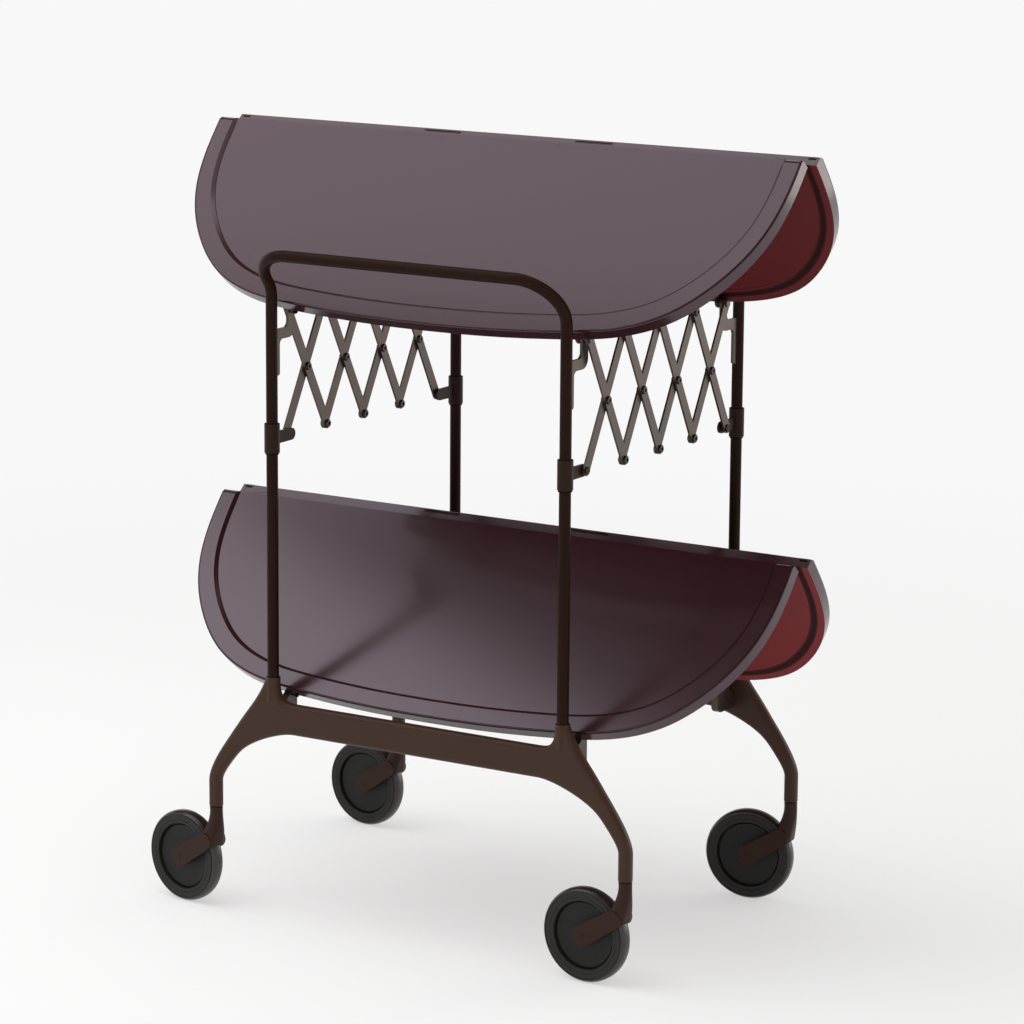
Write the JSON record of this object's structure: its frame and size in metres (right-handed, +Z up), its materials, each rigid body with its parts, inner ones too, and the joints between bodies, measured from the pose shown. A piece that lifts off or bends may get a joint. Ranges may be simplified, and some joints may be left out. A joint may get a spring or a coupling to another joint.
{
  "type": "folding serving trolley",
  "caption": "Serving trolley on castors, two hinged tray levels that fold to a roof, scissor lattices linking the end frames, handle at each end.",
  "frame": {"origin": "floor level under the middle of the trolley, at the centre of its bounding box's base", "axes": "+X along the ridge and the handles, +Y from the front frame to the back frame in the folding direction, +Z up"},
  "size_m": [0.6962, 0.4248, 0.8166],
  "materials": {
    "brown_tube": "satin",
    "brown_casting": "satin",
    "upper_tray_panel": "satin",
    "lower_tray_panel": "satin",
    "dark_steel": "satin",
    "hinge_steel": "satin",
    "hinge_pin_steel": "brushed",
    "bracket_steel": "satin",
    "sleeve_plastic": "satin",
    "lattice_steel": "satin",
    "fork_plastic": "satin",
    "wheel_tyre": "matt",
    "wheel_disc": "matt"
  },
  "bodies": {
    "front_frame": {"front_tube": "brown_tube", "front_casting": "brown_casting", "front_left_upper_bracket": "bracket_steel", "front_left_lower_bracket": "bracket_steel", "front_right_upper_bracket": "bracket_steel", "front_right_lower_bracket": "bracket_steel"},
    "upper_front_half": {"upper_tray_front": "upper_tray_panel", "upper_ears_front": "dark_steel", "upper_leaves_front": "hinge_steel", "upper_ridge_pins": "hinge_pin_steel"},
    "upper_back_half": {"upper_tray_back": "upper_tray_panel", "upper_ears_back": "dark_steel", "upper_leaves_back": "hinge_steel"},
    "lower_front_half": {"lower_tray_front": "lower_tray_panel", "lower_ears_front": "dark_steel", "lower_leaves_front": "hinge_steel", "lower_ridge_pins": "hinge_pin_steel"},
    "lower_back_half": {"lower_tray_back": "lower_tray_panel", "lower_ears_back": "dark_steel", "lower_leaves_back": "hinge_steel"},
    "back_frame": {"back_tube": "brown_tube", "back_casting": "brown_casting", "back_left_upper_bracket": "bracket_steel", "back_left_lower_bracket": "bracket_steel", "back_right_upper_bracket": "bracket_steel", "back_right_lower_bracket": "bracket_steel"},
    "left_falling_1": {"left_falling_bar_1": "lattice_steel"},
    "left_rising_1": {"left_rising_bar_1": "lattice_steel"},
    "left_falling_2": {"left_falling_bar_2": "lattice_steel"},
    "left_rising_2": {"left_rising_bar_2": "lattice_steel"},
    "left_falling_3": {"left_falling_bar_3": "lattice_steel"},
    "left_rising_3": {"left_rising_bar_3": "lattice_steel"},
    "left_falling_4": {"left_falling_bar_4": "lattice_steel"},
    "left_rising_4": {"left_rising_bar_4": "lattice_steel"},
    "left_front_slider": {"front_left_sleeve": "sleeve_plastic"},
    "left_back_slider": {"back_left_sleeve": "sleeve_plastic"},
    "right_falling_1": {"right_falling_bar_1": "lattice_steel"},
    "right_rising_1": {"right_rising_bar_1": "lattice_steel"},
    "right_falling_2": {"right_falling_bar_2": "lattice_steel"},
    "right_rising_2": {"right_rising_bar_2": "lattice_steel"},
    "right_falling_3": {"right_falling_bar_3": "lattice_steel"},
    "right_rising_3": {"right_rising_bar_3": "lattice_steel"},
    "right_falling_4": {"right_falling_bar_4": "lattice_steel"},
    "right_rising_4": {"right_rising_bar_4": "lattice_steel"},
    "right_front_slider": {"front_right_sleeve": "sleeve_plastic"},
    "right_back_slider": {"back_right_sleeve": "sleeve_plastic"},
    "front_left_castor": {"front_left_fork": "fork_plastic"},
    "front_left_wheel": {"front_left_tyre": "wheel_tyre", "front_left_wheel_disc": "wheel_disc"},
    "front_right_castor": {"front_right_fork": "fork_plastic"},
    "front_right_wheel": {"front_right_tyre": "wheel_tyre", "front_right_wheel_disc": "wheel_disc"},
    "back_left_castor": {"back_left_fork": "fork_plastic"},
    "back_left_wheel": {"back_left_tyre": "wheel_tyre", "back_left_wheel_disc": "wheel_disc"},
    "back_right_castor": {"back_right_fork": "fork_plastic"},
    "back_right_wheel": {"back_right_tyre": "wheel_tyre", "back_right_wheel_disc": "wheel_disc"}
  },
  "joints": [
    {"name": "fold", "type": "hinge", "parent": "front_frame", "child": "upper_front_half", "pos_m": [0, -0.14036, 0.6425], "axis": [1, 0, 0], "range_deg": [-50, 10]},
    {"name": "upper_ridge", "type": "hinge", "parent": "upper_front_half", "child": "upper_back_half", "pos_m": [0, 0, 0.80278], "axis": [1, 0, 0], "range_deg": [-20.01, 100.01]},
    {"name": "back_frame_pivot", "type": "hinge", "parent": "upper_back_half", "child": "back_frame", "pos_m": [0, 0.14036, 0.6425], "axis": [1, 0, 0], "range_deg": [-50.01, 10.01]},
    {"name": "lower_front_pivot", "type": "hinge", "parent": "front_frame", "child": "lower_front_half", "pos_m": [0, -0.14036, 0.2395], "axis": [1, 0, 0], "range_deg": [-50.01, 10.01]},
    {"name": "lower_ridge", "type": "hinge", "parent": "lower_front_half", "child": "lower_back_half", "pos_m": [0, 0, 0.39977], "axis": [1, 0, 0], "range_deg": [-20.01, 100.01]},
    {"name": "left_top_front_pivot", "type": "hinge", "parent": "front_frame", "child": "left_falling_1", "pos_m": [-0.18, -0.14036, 0.6425], "axis": [1, 0, 0], "range_deg": [-3.53, 17.61]},
    {"name": "left_cross_1", "type": "hinge", "parent": "left_falling_1", "child": "left_rising_1", "pos_m": [-0.18, -0.10527, 0.577], "axis": [1, 0, 0], "range_deg": [-35.2, 7.05]},
    {"name": "left_front_slider_pivot", "type": "hinge", "parent": "left_rising_1", "child": "left_front_slider", "pos_m": [-0.18, -0.14036, 0.5115], "axis": [1, 0, 0], "range_deg": [-3.53, 17.61]},
    {"name": "left_top_1", "type": "hinge", "parent": "left_rising_1", "child": "left_falling_2", "pos_m": [-0.18, -0.07018, 0.6425], "axis": [1, 0, 0], "range_deg": [-7.05, 35.2]},
    {"name": "left_cross_2", "type": "hinge", "parent": "left_falling_2", "child": "left_rising_2", "pos_m": [-0.18, -0.03509, 0.577], "axis": [1, 0, 0], "range_deg": [-35.2, 7.05]},
    {"name": "left_top_back_pivot", "type": "hinge", "parent": "back_frame", "child": "left_rising_4", "pos_m": [-0.18, 0.14036, 0.6425], "axis": [1, 0, 0], "range_deg": [-17.61, 3.53]},
    {"name": "left_cross_4", "type": "hinge", "parent": "left_rising_4", "child": "left_falling_4", "pos_m": [-0.18, 0.10527, 0.577], "axis": [1, 0, 0], "range_deg": [-7.05, 35.2]},
    {"name": "left_back_slider_pivot", "type": "hinge", "parent": "left_falling_4", "child": "left_back_slider", "pos_m": [-0.18, 0.14036, 0.5115], "axis": [1, 0, 0], "range_deg": [-17.61, 3.53]},
    {"name": "left_top_3", "type": "hinge", "parent": "left_falling_4", "child": "left_rising_3", "pos_m": [-0.18, 0.07018, 0.6425], "axis": [1, 0, 0], "range_deg": [-35.2, 7.05]},
    {"name": "left_cross_3", "type": "hinge", "parent": "left_rising_3", "child": "left_falling_3", "pos_m": [-0.18, 0.03509, 0.577], "axis": [1, 0, 0], "range_deg": [-7.05, 35.2]},
    {"name": "right_top_front_pivot", "type": "hinge", "parent": "front_frame", "child": "right_falling_1", "pos_m": [0.18, -0.14036, 0.6425], "axis": [1, 0, 0], "range_deg": [-3.53, 17.61]},
    {"name": "right_cross_1", "type": "hinge", "parent": "right_falling_1", "child": "right_rising_1", "pos_m": [0.18, -0.10527, 0.577], "axis": [1, 0, 0], "range_deg": [-35.2, 7.05]},
    {"name": "right_front_slider_pivot", "type": "hinge", "parent": "right_rising_1", "child": "right_front_slider", "pos_m": [0.18, -0.14036, 0.5115], "axis": [1, 0, 0], "range_deg": [-3.53, 17.61]},
    {"name": "right_top_1", "type": "hinge", "parent": "right_rising_1", "child": "right_falling_2", "pos_m": [0.18, -0.07018, 0.6425], "axis": [1, 0, 0], "range_deg": [-7.05, 35.2]},
    {"name": "right_cross_2", "type": "hinge", "parent": "right_falling_2", "child": "right_rising_2", "pos_m": [0.18, -0.03509, 0.577], "axis": [1, 0, 0], "range_deg": [-35.2, 7.05]},
    {"name": "right_top_back_pivot", "type": "hinge", "parent": "back_frame", "child": "right_rising_4", "pos_m": [0.18, 0.14036, 0.6425], "axis": [1, 0, 0], "range_deg": [-17.61, 3.53]},
    {"name": "right_cross_4", "type": "hinge", "parent": "right_rising_4", "child": "right_falling_4", "pos_m": [0.18, 0.10527, 0.577], "axis": [1, 0, 0], "range_deg": [-7.05, 35.2]},
    {"name": "right_back_slider_pivot", "type": "hinge", "parent": "right_falling_4", "child": "right_back_slider", "pos_m": [0.18, 0.14036, 0.5115], "axis": [1, 0, 0], "range_deg": [-17.61, 3.53]},
    {"name": "right_top_3", "type": "hinge", "parent": "right_falling_4", "child": "right_rising_3", "pos_m": [0.18, 0.07018, 0.6425], "axis": [1, 0, 0], "range_deg": [-35.2, 7.05]},
    {"name": "right_cross_3", "type": "hinge", "parent": "right_rising_3", "child": "right_falling_3", "pos_m": [0.18, 0.03509, 0.577], "axis": [1, 0, 0], "range_deg": [-7.05, 35.2]},
    {"name": "front_left_swivel", "type": "hinge", "parent": "front_frame", "child": "front_left_castor", "pos_m": [-0.249, -0.17366, 0.105], "axis": [0, 0, 1], "continuous": true},
    {"name": "front_left_roll", "type": "hinge", "parent": "front_left_castor", "child": "front_left_wheel", "pos_m": [-0.29345, -0.16662, 0.04875], "axis": [0.1564, 0.9877, 0], "continuous": true},
    {"name": "front_right_swivel", "type": "hinge", "parent": "front_frame", "child": "front_right_castor", "pos_m": [0.249, -0.17366, 0.105], "axis": [0, 0, 1], "continuous": true},
    {"name": "front_right_roll", "type": "hinge", "parent": "front_right_castor", "child": "front_right_wheel", "pos_m": [0.20406, -0.17131, 0.04875], "axis": [0.0523, 0.9986, 0], "continuous": true},
    {"name": "back_left_swivel", "type": "hinge", "parent": "back_frame", "child": "back_left_castor", "pos_m": [-0.249, 0.17366, 0.105], "axis": [0, 0, 1], "continuous": true},
    {"name": "back_left_roll", "type": "hinge", "parent": "back_left_castor", "child": "back_left_wheel", "pos_m": [-0.29383, 0.17758, 0.04875], "axis": [0.0872, 0.9962, 0], "continuous": true},
    {"name": "back_right_swivel", "type": "hinge", "parent": "back_frame", "child": "back_right_castor", "pos_m": [0.249, 0.17366, 0.105], "axis": [0, 0, 1], "continuous": true},
    {"name": "back_right_roll", "type": "hinge", "parent": "back_right_castor", "child": "back_right_wheel", "pos_m": [0.20444, 0.1674, 0.04875], "axis": [-0.1392, 0.9903, 0], "continuous": true}
  ],
  "couplings": [
    {"joint": "upper_ridge", "follows": "fold", "ratio": -2},
    {"joint": "back_frame_pivot", "follows": "fold", "ratio": 1},
    {"joint": "lower_front_pivot", "follows": "fold", "ratio": 1},
    {"joint": "lower_ridge", "follows": "fold", "ratio": -2},
    {"joint": "left_top_front_pivot", "follows": "fold", "ratio": -0.3519},
    {"joint": "left_cross_1", "follows": "fold", "ratio": 0.7038},
    {"joint": "left_front_slider_pivot", "follows": "fold", "ratio": -0.3519},
    {"joint": "left_top_1", "follows": "fold", "ratio": -0.7038},
    {"joint": "left_cross_2", "follows": "fold", "ratio": 0.7038},
    {"joint": "left_top_back_pivot", "follows": "fold", "ratio": 0.3519},
    {"joint": "left_cross_4", "follows": "fold", "ratio": -0.7038},
    {"joint": "left_back_slider_pivot", "follows": "fold", "ratio": 0.3519},
    {"joint": "left_top_3", "follows": "fold", "ratio": 0.7038},
    {"joint": "left_cross_3", "follows": "fold", "ratio": -0.7038},
    {"joint": "right_top_front_pivot", "follows": "fold", "ratio": -0.3519},
    {"joint": "right_cross_1", "follows": "fold", "ratio": 0.7038},
    {"joint": "right_front_slider_pivot", "follows": "fold", "ratio": -0.3519},
    {"joint": "right_top_1", "follows": "fold", "ratio": -0.7038},
    {"joint": "right_cross_2", "follows": "fold", "ratio": 0.7038},
    {"joint": "right_top_back_pivot", "follows": "fold", "ratio": 0.3519},
    {"joint": "right_cross_4", "follows": "fold", "ratio": -0.7038},
    {"joint": "right_back_slider_pivot", "follows": "fold", "ratio": 0.3519},
    {"joint": "right_top_3", "follows": "fold", "ratio": 0.7038},
    {"joint": "right_cross_3", "follows": "fold", "ratio": -0.7038}
  ]
}
